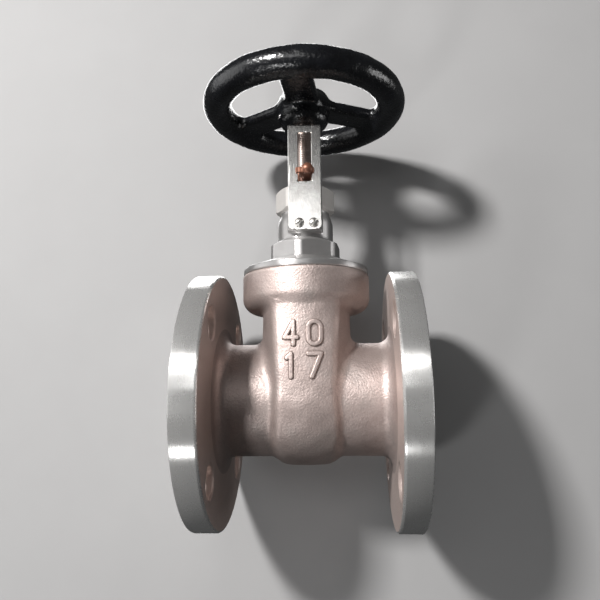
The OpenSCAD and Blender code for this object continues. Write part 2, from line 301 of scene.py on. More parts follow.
def slab(value, low, high):
    """Space between two levels."""
    return np.abs(value - (low + high) / 2) - (high - low) / 2


def spun(field, degrees):
    """The same shape turned about the stem."""
    c, s = cos_sin(degrees)
    return lambda x, y, z: field(c * x + s * y, c * y - s * x, z)


def hexagon(x, y, half, degrees=0):
    """Upright six-sided bar, with corners at 0, 60 ... degrees before it is turned."""
    faces = []
    for i in range(3):
        angle = math.radians(30 + 60 * i + degrees)
        faces.append(np.abs(x * math.cos(angle) + y * math.sin(angle)) - half)
    return np.maximum(np.maximum(faces[0], faces[1]), faces[2])


def normals(field, points, step=0.02):
    """Unit normals of a field at some points."""
    out = np.empty_like(points)
    for axis in range(3):
        up, down = points.copy(), points.copy()
        up[:, axis] += step
        down[:, axis] -= step
        out[:, axis] = field(*up.T) - field(*down.T)
    return out / np.maximum(np.linalg.norm(out, axis=1, keepdims=True), 1e-12)


# How strongly contour() holds a point to the middle of its crossings, and how far past its cell, in
# cells, the point may lie
HOLD = 0.03
SPILL = 0.2


def grid_crossings(value, low, cell, axis):
    """Where the surface crosses the grid's lines along an axis, and the four cells round each place."""
    a, b = (axis + 1) % 3, (axis + 2) % 3
    first = tuple(slice(0, -1) if i == axis else slice(None) for i in range(3))
    second = tuple(slice(1, None) if i == axis else slice(None) for i in range(3))
    crossed = (value[first] < 0) != (value[second] < 0)
    place = np.argwhere(crossed)
    start, end = value[first][crossed], value[second][crossed]
    spots = low + cell * place
    spots[:, axis] += cell * start / (start - end)
    ring = []
    for step_a, step_b in ((-1, -1), (0, -1), (0, 0), (-1, 0)):
        around = place.copy()
        around[:, a] += step_a
        around[:, b] += step_b
        ring.append(np.ravel_multi_index(around.T, np.array(value.shape) - 1))
    ring = np.stack(ring, 1)
    inward = start >= 0
    ring[inward] = ring[inward][:, ::-1]
    return spots, ring


def meeting_points(owner, spots, normal):
    """For each cell, the point where the tangent planes at its crossings meet."""
    count = np.bincount(owner).astype(float)
    middle = np.stack([np.bincount(owner, spots[:, i]) for i in range(3)], 1) / count[:, None]
    reach = np.sum(normal * (spots - middle[owner]), 1)
    pull = np.stack([np.bincount(owner, normal[:, i] * reach) for i in range(3)], 1)
    spread = np.empty((len(count), 3, 3))
    for i in range(3):
        for j in range(3):
            spread[:, i, j] = np.bincount(owner, normal[:, i] * normal[:, j])
        spread[:, i, i] += HOLD * count
    return middle + np.linalg.solve(spread, pull[:, :, None])[:, :, 0]


def contour(field, low, high, cell):
    """Points and quads of the closed surface where the field is 0.

    Each cell that the surface crosses gets one point, placed so that sharp edges stay sharp."""
    low = np.array(low, float)
    counts = np.ceil((np.array(high) - low) / cell).astype(int) + 1
    levels = [low[i] + cell * np.arange(counts[i]) for i in range(3)]
    value = field(*np.meshgrid(*levels, indexing="ij"))
    spots, rings = zip(*(grid_crossings(value, low, cell, axis) for axis in range(3)))
    spots = np.concatenate(spots)
    cells, quads = np.unique(np.concatenate(rings), return_inverse=True)
    normal = normals(field, spots)
    points = meeting_points(quads.ravel(), np.repeat(spots, 4, 0), np.repeat(normal, 4, 0))
    start = low + cell * np.stack(np.unravel_index(cells, counts - 1), 1)
    points = np.clip(points, start - SPILL * cell, start + (1 + SPILL) * cell)
    return points, quads.reshape(-1, 4)


# ---------------------------------------------------------------- pieces
def add_piece(name, points, faces, sharp_angle=32):
    """Makes a mesh object from points in millimetres from the stem's axis."""
    mesh = bpy.data.meshes.new(name)
    places = (np.asarray(points) + (STEM_X, 0, 0)) * MM
    mesh.from_pydata(places.tolist(), [], [list(face) for face in faces])
    mesh.polygons.foreach_set("use_smooth", np.ones(len(mesh.polygons), bool))
    mesh.set_sharp_from_angle(angle=math.radians(sharp_angle))
    piece = bpy.data.objects.new(name, mesh)
    bpy.context.scene.collection.objects.link(piece)
    return piece


def finish_piece(piece, body, material, stands_for=()):
    """Gives a piece its material, the body it moves with and the CAD nodes it stands for."""
    piece.data.materials.clear()
    piece.data.materials.append(material)
    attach(piece, body)
    if stands_for:
        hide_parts(*stands_for)
    return piece


def field_piece(name, field, low, high, cell, sharp_angle=32):
    """Meshes a field on a grid between two corners, which lie just outside its shape."""
    points, quads = contour(field, low, high, cell)
    return add_piece(name, points, quads.tolist(), sharp_angle)


# ---------------------------------------------------------------- body casting
def waviness(x, y, z):
    """Small unevenness of a sand-cast wall."""
    broad = 0.09 * np.sin(0.31 * x + 0.17 * z) * np.sin(0.23 * z + 0.11 * y + 1.3)
    return broad + 0.05 * np.sin(0.55 * z + 0.4) * np.sin(0.47 * x + 0.3 * y)


def rising(low, high, share):
    """A value that goes from low to high as a share goes from 0 to 1, and holds past both."""
    return low + (high - low) * np.clip(share, 0, 1)


def straight_housing(x, y, z):
    """Housing that the gate rises in: oval from above with broad fronts, and with a round bottom."""
    reach = np.where(z < 0, length(y, z), np.abs(y))
    half_y = rising(HOUSING_OVAL_LOW, HOUSING_OVAL_HIGH, (z - OVAL_LOW_Z) / OVAL_RISE)
    share = length(x / HOUSING_HALF_X, reach / half_y)
    steep = length(x / HOUSING_HALF_X ** 2, reach / half_y ** 2)
    oval = share * (share - 1) / np.maximum(steep, 1e-6)
    front_y = rising(HOUSING_BOTTOM_R, HOUSING_TOP_Y, z / HOUSING_TOP_Z)
    front_r = rising(HOUSING_LOW_FRONT_R, HOUSING_FRONT_R, z / HOUSING_TOP_Z)
    front = length(x, reach - front_y + front_r) - front_r
    front = np.where(reach > front_y - HOUSING_FRONT_DEPTH, front, reach - front_y)
    # The edge between front and side widens where the wall turns under
    downward = -z / np.maximum(reach, 1)
    edge = rising(HOUSING_EDGE_R, HOUSING_BOTTOM_EDGE_R, (downward - 0.55) / 0.45)
    wall = corner(oval, front, edge)
    return np.maximum(wall + waviness(x, y, z), z - HOUSING_TOP_Z - HOUSING_IN_COLLAR)


housing = spun(straight_housing, HOUSING_TURN)


def port(x, y, z):
    """Both port barrels, with a flare at each end that sinks into the flange's back."""
    side, reach = np.abs(x), length(y, z)
    barrel = reach - PORT_R + 0.6 * waviness(x, y, z)
    back = FACE - FLANGE_T - FLARE_PROUD + FLARE_SINK * (reach - FLARE_LEVEL_R)
    return join(barrel, corner(reach - FLARE_R, back - side, FLARE_EDGE_R), FLARE_FILLET_R)


def body_hollow(x, y, z):
    """The flow passage with its seats, the gate's pocket and the mouth for the bonnet."""
    side, reach, around = np.abs(x), length(y, z), length(x, y)
    passage = np.minimum(reach - BORE_R, np.maximum(side - SEAT_X, reach - SEAT_R))
    pocket = np.maximum(side - POCKET_X, np.where(z < 0, reach, np.abs(y)) - POCKET_R)
    mouth = np.maximum(around - MOUTH_R, MOUTH_Z - z)
    return np.minimum(np.minimum(passage, pocket), mouth)


def casting(x, y, z):
    """Housing, ports and collar as one hollow casting; its fillets widen upward and to the sides."""
    around = length(x, y)
    underside = COLLAR_LOW_Z - z + COLLAR_SLOPE * np.maximum(around - COLLAR_SLOPE_R, 0)
    collar = corner(around - COLLAR_R, underside, COLLAR_EDGE_R)
    collar = corner(collar, z - JOINT_Z, JOINT_EDGE_R)
    fillet = rising(PORT_FILLET_LOW_R, PORT_FILLET_HIGH_R, z / PORT_FILLET_TOP_Z)
    shell = join(housing(x, y, z), port(x, y, z), fillet)
    fillet = rising(COLLAR_FRONT_FILLET_R, COLLAR_SIDE_FILLET_R, (np.abs(x) - 11) / 9)
    shell = join(shell, collar, fillet)
    shell = np.maximum(shell, np.abs(x) - (FACE - FLANGE_T + CASTING_IN_FLANGE))
    return np.maximum(shell, -body_hollow(x, y, z))


def stroke(x, z, start, end):
    """Distance in the plane from a straight pen stroke."""
    ax, az = start
    dx, dz = end[0] - ax, end[1] - az
    t = np.clip(((x - ax) * dx + (z - az) * dz) / (dx * dx + dz * dz), 0, 1)
    return length(x - ax - t * dx, z - az - t * dz)


def numeral(digit, x, z):
    """Distance in the plane from the middle of a digit's strokes."""
    low, high = NUMERAL_BAR, NUMERAL_H - NUMERAL_BAR
    left, right = NUMERAL_BAR, NUMERAL_W - NUMERAL_BAR
    middle = NUMERAL_W / 2
    if digit == "0":
        return np.abs(stroke(x, z, (middle, middle), (middle, NUMERAL_H - middle)) - middle + NUMERAL_BAR)
    strokes = {
        "1": [((middle, low), (middle, high)), ((middle, high), (left + 1, high - 1.8))],
        "4": [((right - 1.6, low), (right - 1.6, high)), ((left, low + 3), (right, low + 3)),
              ((left, low + 3), (right - 1.6, high))],
        "7": [((left, high), (right, high)), ((right, high), (left + 1.4, low))],
    }[digit]
    return np.minimum.reduce([stroke(x, z, start, end) for start, end in strokes])


def raised_numbers(x, y, z):
    """Two rows of plain numbers on the housing's front, with a thin skirt of its wall around them."""
    pen = np.full_like(x, np.inf)  # distance from the nearest stroke
    for foot_z, digits in ((UPPER_NUMBER_Z, "40"), (LOWER_NUMBER_Z, "17")):
        for digit, left in zip(digits, (-NUMERAL_W - NUMERAL_GAP / 2, NUMERAL_GAP / 2)):
            pen = np.minimum(pen, numeral(digit, x - left - NUMERAL_SHIFT, z - foot_z))
    wall = straight_housing(x, y, z)
    bar = corner(pen - NUMERAL_BAR, wall - NUMERAL_RAISE, NUMERAL_EDGE_R)
    shape = join(wall, bar, NUMERAL_FILLET_R)
    shape = np.maximum(shape, pen - NUMERAL_BAR - NUMERAL_SKIRT)
    return np.maximum(shape, -wall - NUMERAL_ROOT)


def lathe(name, profile, steps, middle=(0, 0, 0)):
    """Closed solid of revolution along X from (radius, x) points, with its axis through a point."""
    points, faces = [], []
    count = len(profile)
    for k in range(steps):
        c, s = cos_sin(360 * k / steps)
        points += [(x + middle[0], r * c + middle[1], r * s + middle[2]) for r, x in profile]
        for i in range(count):
            j, n = (i + 1) % count, (k + 1) % steps
            faces.append((k * count + i, k * count + j, n * count + j, n * count + i))
    made = add_piece(name, points, faces)
    tidy = bmesh.new()
    tidy.from_mesh(made.data)
    bmesh.ops.remove_doubles(tidy, verts=tidy.verts, dist=1e-7)
    bmesh.ops.dissolve_degenerate(tidy, edges=tidy.edges, dist=1e-7)
    bmesh.ops.recalc_face_normals(tidy, faces=tidy.faces)
    tidy.to_mesh(made.data)
    tidy.free()
    return made


def flange_profile():
    """Half section of a flange: points of radius and depth behind its face."""
    profile = [(BORE_R, FRONT_EDGE), (BORE_R + FRONT_EDGE, 0)]
    for r in GASKET_GROOVES_R:
        profile += [(r - GROOVE_DEPTH, 0), (r, GROOVE_DEPTH), (r + GROOVE_DEPTH, 0)]
    profile += [
        (FLANGE_R - FRONT_EDGE, 0),
        (FLANGE_R - FRONT_EDGE_CUT, FRONT_EDGE_CUT),
        (FLANGE_R, FRONT_EDGE),
        (FLANGE_R, FLANGE_T - BACK_EDGE),
        (FLANGE_R - BACK_EDGE_CUT, FLANGE_T - BACK_EDGE_CUT),
        (FLANGE_R - BACK_EDGE, FLANGE_T),
        (RECESS_R + RECESS_EDGE, FLANGE_T),
        (RECESS_R, FLANGE_T - RECESS_EDGE),
        (RECESS_R, FLANGE_T - RECESS_DEPTH),
        (BORE_R, FLANGE_T - RECESS_DEPTH),
    ]
    return profile


def drill_profile():
    """Half section of a bolt hole with a chamfer at each end: points of radius and depth."""
    mouth = BOLT_HOLE_R + BOLT_CHAMFER + DRILL_PAST
    return [
        (0, -DRILL_PAST),
        (mouth, -DRILL_PAST),
        (BOLT_HOLE_R, BOLT_CHAMFER),
        (BOLT_HOLE_R, FLANGE_T - BOLT_CHAMFER),
        (mouth, FLANGE_T + DRILL_PAST),
        (0, FLANGE_T + DRILL_PAST),
    ]


def cut_away(piece, cutter):
    """Takes the cutter's solid out of a piece, and then removes the cutter."""
    cut = piece.modifiers.new("cut", "BOOLEAN")
    cut.object = cutter
    cut.solver = "EXACT"
    cut.operation = "DIFFERENCE"
    bpy.context.view_layer.update()
    evaluated = piece.evaluated_get(bpy.context.evaluated_depsgraph_get())
    mesh = bpy.data.meshes.new_from_object(evaluated)
    piece.modifiers.clear()
    piece.data = mesh
    bpy.data.objects.remove(cutter)


def make_flange(name, side):
    """Machined flange disc with grooved face and chamfered bolt holes; side is -1 or 1."""
    def placed(profile):
        return [(r, side * (FACE - depth)) for r, depth in profile]

    disc = lathe(name, placed(flange_profile()), FLANGE_STEPS)
    for k in range(BOLT_HOLES):
        c, s = cos_sin(360 * (k + 0.5) / BOLT_HOLES)
        middle = (0, BOLT_CIRCLE_R * c, BOLT_CIRCLE_R * s)
        cut_away(disc, lathe("drill", placed(drill_profile()), BOLT_HOLE_STEPS, middle))
    disc.data.polygons.foreach_set("use_smooth", np.ones(len(disc.data.polygons), bool))
    disc.data.set_sharp_from_angle(angle=math.radians(25))
    return disc


def paint_back(disc, side, material):
    """Gives the rough back face of a flange the casting's own material, and its bolt holes the same darker
    finish as a painted shade for their walls.
    """
    disc.data.materials.append(material)
    back_x = (STEM_X + side * (FACE - FLANGE_T)) * MM
    for face in disc.data.polygons:
        reach = math.hypot(face.center.y, face.center.z) / MM
        on_back = abs(face.normal.x) > 0.99 and abs(face.center.x - back_x) < 0.1 * MM
        in_hole = abs(face.normal.x) < 0.9 and abs(reach - BOLT_CIRCLE_R) < BOLT_HOLE_R + 2
        # Painted shade: the bolt holes' walls take the darker cast finish
        if on_back or in_hole:
            face.material_index = 1


# ---------------------------------------------------------------- bonnet, gland and pointer plate
# Cosine and sine of a hexagon's chamfer, which slopes about 30 degrees down from level
CHAMFER_UP = 0.86
CHAMFER_OUT = 0.51


def turned_hexagon(x, y, z, half, corner_r, low, high, low_chamfer, high_chamfer, degrees=0):
    """Six-sided bar whose corners were turned on a lathe, with sloping chamfers at its ends."""
    around = length(x, y)
    bar = np.maximum(hexagon(x, y, half, degrees), around - corner_r)
    bar = corner(bar, slab(z, low, high), 0.35)
    top = (around - corner_r + high_chamfer) * CHAMFER_OUT + (z - high) * CHAMFER_UP
    bottom = (around - corner_r + low_chamfer) * CHAMFER_OUT + (low - z) * CHAMFER_UP
    return np.maximum(bar, np.maximum(top, bottom))


def cone(around, radius, z, low, fall):
    """Space inside a cone that has a radius at one level and narrows by a fall for each unit of rise."""
    return (around - radius + (z - low) * fall) / math.hypot(1, fall)


def bonnet_hollow(x, y, z):
    """Space for the raised gate, the stem's collar, the stem, the packing and the plate's screws."""
    around = length(x, y)
    fall = (SPIGOT_BORE_R - CHAMBER_R) / (CHAMBER_LOW_Z - SPIGOT_BORE_TOP_Z)
    dome = cone(around, SPIGOT_BORE_R, z, SPIGOT_BORE_TOP_Z, fall)
    hollow = np.maximum(np.maximum(dome, around - SPIGOT_BORE_R), z - CHAMBER_LOW_Z)
    hollow = np.minimum(hollow, np.maximum(around - CHAMBER_R, z - CHAMBER_TOP_Z))
    hollow = np.minimum(hollow, around - STEM_R - STEM_GAP)
    hollow = np.minimum(hollow, np.maximum(around - STUFFING_R, STUFFING_Z - z))
    for screw_x in SCREW_X:
        hole = length(x - screw_x, z - SCREW_Z) - SCREW_R
        hollow = np.minimum(hollow, np.maximum(hole, y + PLATE_BACK_Y - SCREW_DEPTH))
    return hollow


def bonnet(x, y, z):
    """Band, sloping skirt, hexagon, drum with a coned shoulder, neck and the plate's pad."""
    around = length(x, y)
    band = corner(around - BONNET_R, slab(z, JOINT_Z, BAND_TOP_Z), JOINT_EDGE_R)
    spigot = corner(around - MOUTH_R + FIT_GAP, slab(z, SPIGOT_Z, JOINT_Z + SPIGOT_IN_BAND), 0.5)
    skirt_r = BONNET_R - SKIRT_STEP
    skirt = cone(around, skirt_r, z, BAND_TOP_Z, (skirt_r - SKIRT_TOP_R) / (HEX_LOW_Z - BAND_TOP_Z))
    skirt_ends = corner(around - skirt_r, slab(z, JOINT_Z + SPIGOT_IN_BAND, HEX_LOW_Z), 0)
    skirt = np.maximum(skirt, skirt_ends)
    bar = turned_hexagon(
        x, y, z, HEX_HALF, HEX_CORNER_R, HEX_LOW_Z - HEX_SUNK, HEX_TOP_Z, 0, HEX_CHAMFER, HEX_TURN)
    drum = corner(around - DRUM_R, slab(z, HEX_LOW_Z, DRUM_CONE_Z), 0.3)
    shoulder = cone(around, DRUM_R, z, DRUM_TOP_Z, (DRUM_R - NECK_R) / (DRUM_CONE_Z - DRUM_TOP_Z))
    drum = corner(drum, shoulder, 0.5)
    neck = corner(around - NECK_R, slab(z, DRUM_TOP_Z, NECK_TOP_Z), 0.4)
    pad = corner(np.abs(x) - PLATE_HALF_W, slab(z, PLATE_LOW_Z, PAD_TOP_Z), 0.4)
    pad = corner(pad, slab(y, -PLATE_BACK_Y, 0), 0.3)
    shape = join(np.minimum(np.minimum(band, skirt), spigot), bar, BONNET_FILLET_R)
    shape = join(shape, np.minimum(drum, neck), BONNET_FILLET_R)
    shape = join(shape, pad, BONNET_FILLET_R)
    return np.maximum(shape, -bonnet_hollow(x, y, z))


def gland_nut(x, y, z):
    """Hexagon nut, screwed over the bonnet's neck and bored for the stem."""
    around = length(x, y)
    bar = turned_hexagon(x, y, z, GLAND_HALF, GLAND_CORNER_R, GLAND_LOW_Z, GLAND_TOP_Z,
                         GLAND_LOW_CHAMFER, GLAND_HIGH_CHAMFER)
    thread = np.maximum(around - NECK_R - FIT_GAP, z - GLAND_THREAD_TOP_Z)
    return np.maximum(bar, -np.minimum(thread, around - STEM_R - STEM_GAP))


def pointer_plate(x, y, z):
    """Upright sheet with a long slot, and two holes for its screws."""
    outline = corner(np.abs(x) - PLATE_HALF_W, PLATE_LOW_Z - z, PLATE_FOOT_EDGE_R)
    outline = corner(outline, z - PLATE_TOP_Z, 0.5)
    slot = corner(np.abs(x) - SLOT_HALF_W, slab(z, SLOT_LOW_Z, SLOT_TOP_Z), 0.4)
    outline = corner(outline, -slot, 0.15)
    for screw_x in SCREW_X:
        outline = np.maximum(outline, SCREW_R + FIT_GAP - length(x - screw_x, z - SCREW_Z))
    return corner(outline, slab(y, -PLATE_BACK_Y - PLATE_T, -PLATE_BACK_Y), 0.25)


def plate_screw(screw_x, degrees):
    """Field of a domed screw whose slot is turned by some degrees."""
    c, s = cos_sin(degrees)
    face_y = -PLATE_BACK_Y - PLATE_T

    def field(x, y, z):
        u, w = x - screw_x, z - SCREW_Z
        around = length(u, w)
        dome = length(around, y - face_y - SCREW_DOME_SINK) - SCREW_DOME_R
        head = np.maximum(dome, corner(around - SCREW_HEAD_R, y - face_y, 0.1))
        slot = corner(np.abs(w * c - u * s) - SCREW_SLOT_HALF_W, y - face_y + SCREW_SLOT_FLOOR, 0.05)
        shank = corner(around - SCREW_R + FIT_GAP, slab(y, face_y - 0.5, face_y + SCREW_DEPTH), 0.3)
        return np.minimum(np.maximum(head, -slot), shank)

    return field


def pointer_nut(x, y, z):
    """Disc on the stem's thread, with an arm through the plate's slot and a pinned head in front."""
    around = length(x, y)
    head_y = POINTER_FRONT_Y - HEAD_T
    disc = corner(around - POINTER_R, slab(z, POINTER_LOW_Z, POINTER_TOP_Z), 0.6)
    arm = corner(np.abs(x) - SLOT_HALF_W + ARM_GAP, slab(y, head_y, 0), 0.5)
    arm = corner(arm, slab(z, POINTER_LOW_Z, POINTER_LOW_Z + ARM_H), 0.5)
    head = slab(z, POINTER_LOW_Z + HEAD_LOW, POINTER_LOW_Z + HEAD_HIGH)
    head = corner(np.abs(x) - HEAD_HALF_W, head, 0.8)
    head = corner(head, slab(y, head_y, POINTER_FRONT_Y), 0.35)
    pin = length(x - PIN_X, z - PIN_Z)
    dome = length(pin, y - POINTER_FRONT_Y - PIN_DOME_SINK) - PIN_DOME_R
    dome = np.maximum(dome, corner(pin - PIN_R, y - POINTER_FRONT_Y, 0.3))
    shape = join(join(disc, arm, 0.6), join(head, dome, 0.3), 0.3)
    return np.maximum(shape, STEM_R + STEM_GAP - around)


# ---------------------------------------------------------------- handwheel, nut and stem
def handwheel(x, y, z):
    """Round rim, three flat spokes that spread into each other, and a coned hub."""
    around = length(x, y)
    rim = length(around - RIM_R, z - RIM_Z) - RIM_SECTION_R + RIM_LUMP_ROOM
    star = around - HUB_R
    for degrees in SPOKE_ANGLES:
        c, s = cos_sin(degrees)
        along, across = x * c + y * s, y * c - x * s
        star = join(star, corner(np.abs(across) - SPOKE_HALF_W, -along, 1), 5)
    star = np.maximum(star, around - RIM_R)
    web = corner(star, np.abs(z - SPOKE_Z) - SPOKE_HALF_T, 2.2)
    widening = (HUB_R - HUB_LOW_R) / (HUB_CONE_Z - HUB_LOW_Z)
    hub = corner(around - HUB_R, cone(around, HUB_LOW_R, z, HUB_LOW_Z, -widening), 1.5)
    hub = corner(hub, HUB_LOW_Z - z, 0.8)
    hub = corner(hub, z - HUB_TOP_Z, 2.0)
    shape = join(join(web, rim, 3.0), hub, 2.0)
    lumps = 0.12 * np.sin(0.21 * x + 0.3) * np.sin(0.19 * y + 0.8) + 0.05 * np.sin(0.5 * x + 0.33 * y)
    shape = shape + np.where(around > HUB_R, 1, 0) * lumps
    return np.maximum(shape, STEM_R + WHEEL_GAP - around)


def wheel_nut(x, y, z):
    """Hexagon nut on the stem's top thread."""
    bar = turned_hexagon(x, y, z, NUT_HALF, NUT_CORNER_R, NUT_LOW_Z, NUT_TOP_Z, 0, NUT_CHAMFER)
    return np.maximum(bar, TOP_THREAD_R + FIT_GAP - length(x, y))


def wheel_washer(x, y, z):
    """Plain ring between the hub and the nut."""
    ring = corner(length(x, y) - WASHER_R, slab(z, HUB_TOP_Z, NUT_LOW_Z), 0.3)
    return np.maximum(ring, TOP_THREAD_R + FIT_GAP - length(x, y))


def stem_levels():
    """Heights of the stem's rings: close together on the threads, and a pair at each step."""
    thread_low, thread_top = POINTER_THREAD[:2]
    last_step = STEM_SECTIONS[-1][0]
    steps = [top for top, radius in STEM_SECTIONS]
    levels = [
        *np.arange(STEM_LOW_Z, thread_low, 2.0),
        *np.arange(thread_low, thread_top, THREAD_RING_GAP),
        *np.arange(thread_top, last_step, 1.5),
        *np.arange(last_step + 0.2, STEM_TOP_Z, THREAD_RING_GAP),
    ]
    rings = {round(float(z), 3) for z in levels if min(abs(z - step) for step in steps) > 0.05}
    for step in steps:
        rings |= {step - 0.02, step + 0.02}
    return sorted(rings)


def stem_radius(z, turn):
    """Radius of the stem at a height and a share of a full turn, with its threads and its chamfered end."""
    radius = next((r for top, r in STEM_SECTIONS if z < top), TOP_THREAD_R)
    for low, high, pitch, depth in (POINTER_THREAD, NUT_THREAD):
        if low < z < high:
            phase = (z / pitch - turn) % 1
            radius -= depth * abs(2 * phase - 1) * min(1, (z - low) / pitch, (high - z) / pitch)
    return radius - max(0, z - STEM_TOP_Z + STEM_END_H) * STEM_END_FALL


def make_stem(name, around=72):
    """Turned stem with its fine pointer thread and the thread for the top nut."""
    levels = stem_levels()
    points, faces = [], []
    for z in levels:
        for k in range(around):
            c, s = cos_sin(360 * k / around)
            r = stem_radius(z, k / around)
            points.append((r * c, r * s, z))
    for row in range(len(levels) - 1):
        low, high = row * around, (row + 1) * around
        for k in range(around):
            n = (k + 1) % around
            faces.append((low + k, low + n, high + n, high + k))
    faces.append(tuple(reversed(range(around))))
    faces.append(tuple(range(high, high + around)))
    return add_piece(name, points, faces, 40)


# ---------------------------------------------------------------- materials
def shade(red, green, blue):
    """A colour written as on a screen, from 0 to 255, in Blender's linear values."""
    def linear(level):
        level /= 255
        return level / 12.92 if level <= 0.04045 else ((level + 0.055) / 1.055) ** 2.4
    return (linear(red), linear(green), linear(blue), 1)


class Finish:
    """One procedural material, whose textures are placed in the row frame and sized in millimetres."""

    def __init__(self, name, **shader):
        self.material = bpy.data.materials.new(name)
        self.material.use_nodes = True
        self.tree = self.material.node_tree
        self.tree.nodes.clear()
        self.shader = self.node("ShaderNodeBsdfPrincipled")
        self.output = self.node("ShaderNodeOutputMaterial")
        self.tree.links.new(self.shader.outputs["BSDF"], self.output.inputs["Surface"])
        for key, value in shader.items():
            self.shader.inputs[key.replace("_", " ")].default_value = value
        self.place = self.node("ShaderNodeTexCoord").outputs["Object"]

    def node(self, kind, inputs=None, **settings):
        """A new node with its settings, and each input linked or set."""
        made = self.tree.nodes.new(kind)
        for key, value in settings.items():
            setattr(made, key, value)
        for key, value in (inputs or {}).items():
            socket = made.inputs[key]
            if isinstance(value, bpy.types.NodeSocket):
                self.tree.links.new(value, socket)
            else:
                socket.default_value = value
        return made

    def scaled(self, stretch=(1, 1, 1), turn=(0, 0, 0), source=None):
        """Coordinates in millimetres, stretched along each axis."""
        inputs = {
            "Vector": source or self.place,
            "Scale": tuple(share / MM for share in stretch),
            "Rotation": turn,
        }
        return self.node("ShaderNodeMapping", inputs).outputs[0]

    def noise(self, size, detail=3.0, stretch=(1, 1, 1), vector=None, roughness=0.55, turn=(0, 0, 0)):
        """Noise from 0 to 1 whose lumps are about that many millimetres across."""
        inputs = {
            "Vector": vector or self.scaled(stretch, turn),
            "Scale": 1 / size,
            "Detail": detail,
            "Roughness": roughness,
        }
        return self.node("ShaderNodeTexNoise", inputs).outputs["Fac"]

    def spots(self, size):
        """Distance from scattered points that are about that many millimetres apart."""
        made = self.node("ShaderNodeTexVoronoi", {"Vector": self.scaled(), "Scale": 1 / size})
        return made.outputs["Distance"]

    def ramp(self, factor, *stops):
        """Spreads a factor over (place, level or colour) stops."""
        made = self.node("ShaderNodeValToRGB", {"Fac": factor})
        elements = made.color_ramp.elements
        while len(elements) < len(stops):
            elements.new(1)
        for element, (position, level) in zip(elements, stops):
            element.position = position
            element.color = level if isinstance(level, tuple) else (level, level, level, 1)
        return made.outputs["Color"]

    def mix(self, factor, a, b, blend="MIX"):
        """Mixes two colours; in a Mix node of colours they are inputs 6 and 7, and the result output 2."""
        inputs = {0: factor, 6: a, 7: b}
        return self.node("ShaderNodeMix", inputs, data_type="RGBA", blend_type=blend).outputs[2]

    def turning(self, axis):
        """Coordinates that change along a turned part and along its radius, but hardly around it."""
        x, y, z = self.node("ShaderNodeSeparateXYZ", {"Vector": self.place}).outputs
        if axis == "X":
            along, across = x, {"Y": y, "Z": z}
        else:
            from_stem = self.node("ShaderNodeMath", {0: x, 1: STEM_X * MM}, operation="SUBTRACT").outputs[0]
            along, across = z, {"X": from_stem, "Y": y}
        across = self.node("ShaderNodeCombineXYZ", across).outputs[0]
        reach = self.node("ShaderNodeVectorMath", {0: across}, operation="LENGTH").outputs["Value"]
        return self.scaled(source=self.node("ShaderNodeCombineXYZ", {"X": along, "Y": reach}).outputs[0])

    def bump(self, *layers):
        """Normal of a rough surface; each layer is a height from 0 to 1 and how many millimetres it spans."""
        normal = None
        for height, millimetres in layers:
            inputs = {"Height": height, "Distance": millimetres * MM, "Strength": 1.0}
            if normal:
                inputs["Normal"] = normal
            normal = self.node("ShaderNodeBump", inputs).outputs[0]
        return normal

    def set(self, **inputs):
        """Links sockets to the shader's inputs and gives the finished material."""
        for key, value in inputs.items():
            self.tree.links.new(value, self.shader.inputs[key.replace("_", " ")])
        return self.material

    def edges(self, low, high):
        """Where the surface turns outward: rubbed edges."""
        point = self.node("ShaderNodeNewGeometry").outputs["Pointiness"]
        return self.ramp(point, (low, 0.0), (high, 1.0))

    def creases(self, millimetres):
        """From 0 in a tight crease to 1 where nothing is that close."""
        made = self.node("ShaderNodeAmbientOcclusion", {"Distance": millimetres * MM}, samples=8)
        return made.outputs["AO"]


def cast_finish():
    """Sand-cast bronze: patches of tone, painted shade in its creases, rubbed edges and a fine grain."""
    finish = Finish("cast_bronze", Metallic=0.7)
    tone = finish.ramp(finish.noise(14, 4), (0.32, shade(166, 151, 146)), (0.5, shade(178, 163, 158)),
                       (0.68, shade(172, 160, 155)))
    speck = finish.ramp(finish.noise(0.7, 5), (0.35, 0.78), (0.62, 1.04))
    tone = finish.mix(0.5, tone, speck, "MULTIPLY")
    # Painted shade: the tone turns dark brown in tight creases, by ambient occlusion
    crease_shade = finish.ramp(finish.creases(4), (0.35, 0.0), (0.85, 1.0))
    tone = finish.mix(crease_shade, shade(92, 74, 64), tone)
    tone = finish.mix(finish.edges(0.51, 0.56), tone, shade(202, 186, 179))
    rough = finish.ramp(finish.noise(5, 3), (0.3, 0.46), (0.7, 0.54))
    pits = finish.ramp(finish.spots(2.2), (0.0, 0.0), (0.14, 1.0))
    normal = finish.bump((finish.noise(0.9, 3), 0.17), (finish.noise(2.4, 3), 0.08), (pits, 0.03))
    return finish.set(Base_Color=tone, Roughness=rough, Normal=normal)


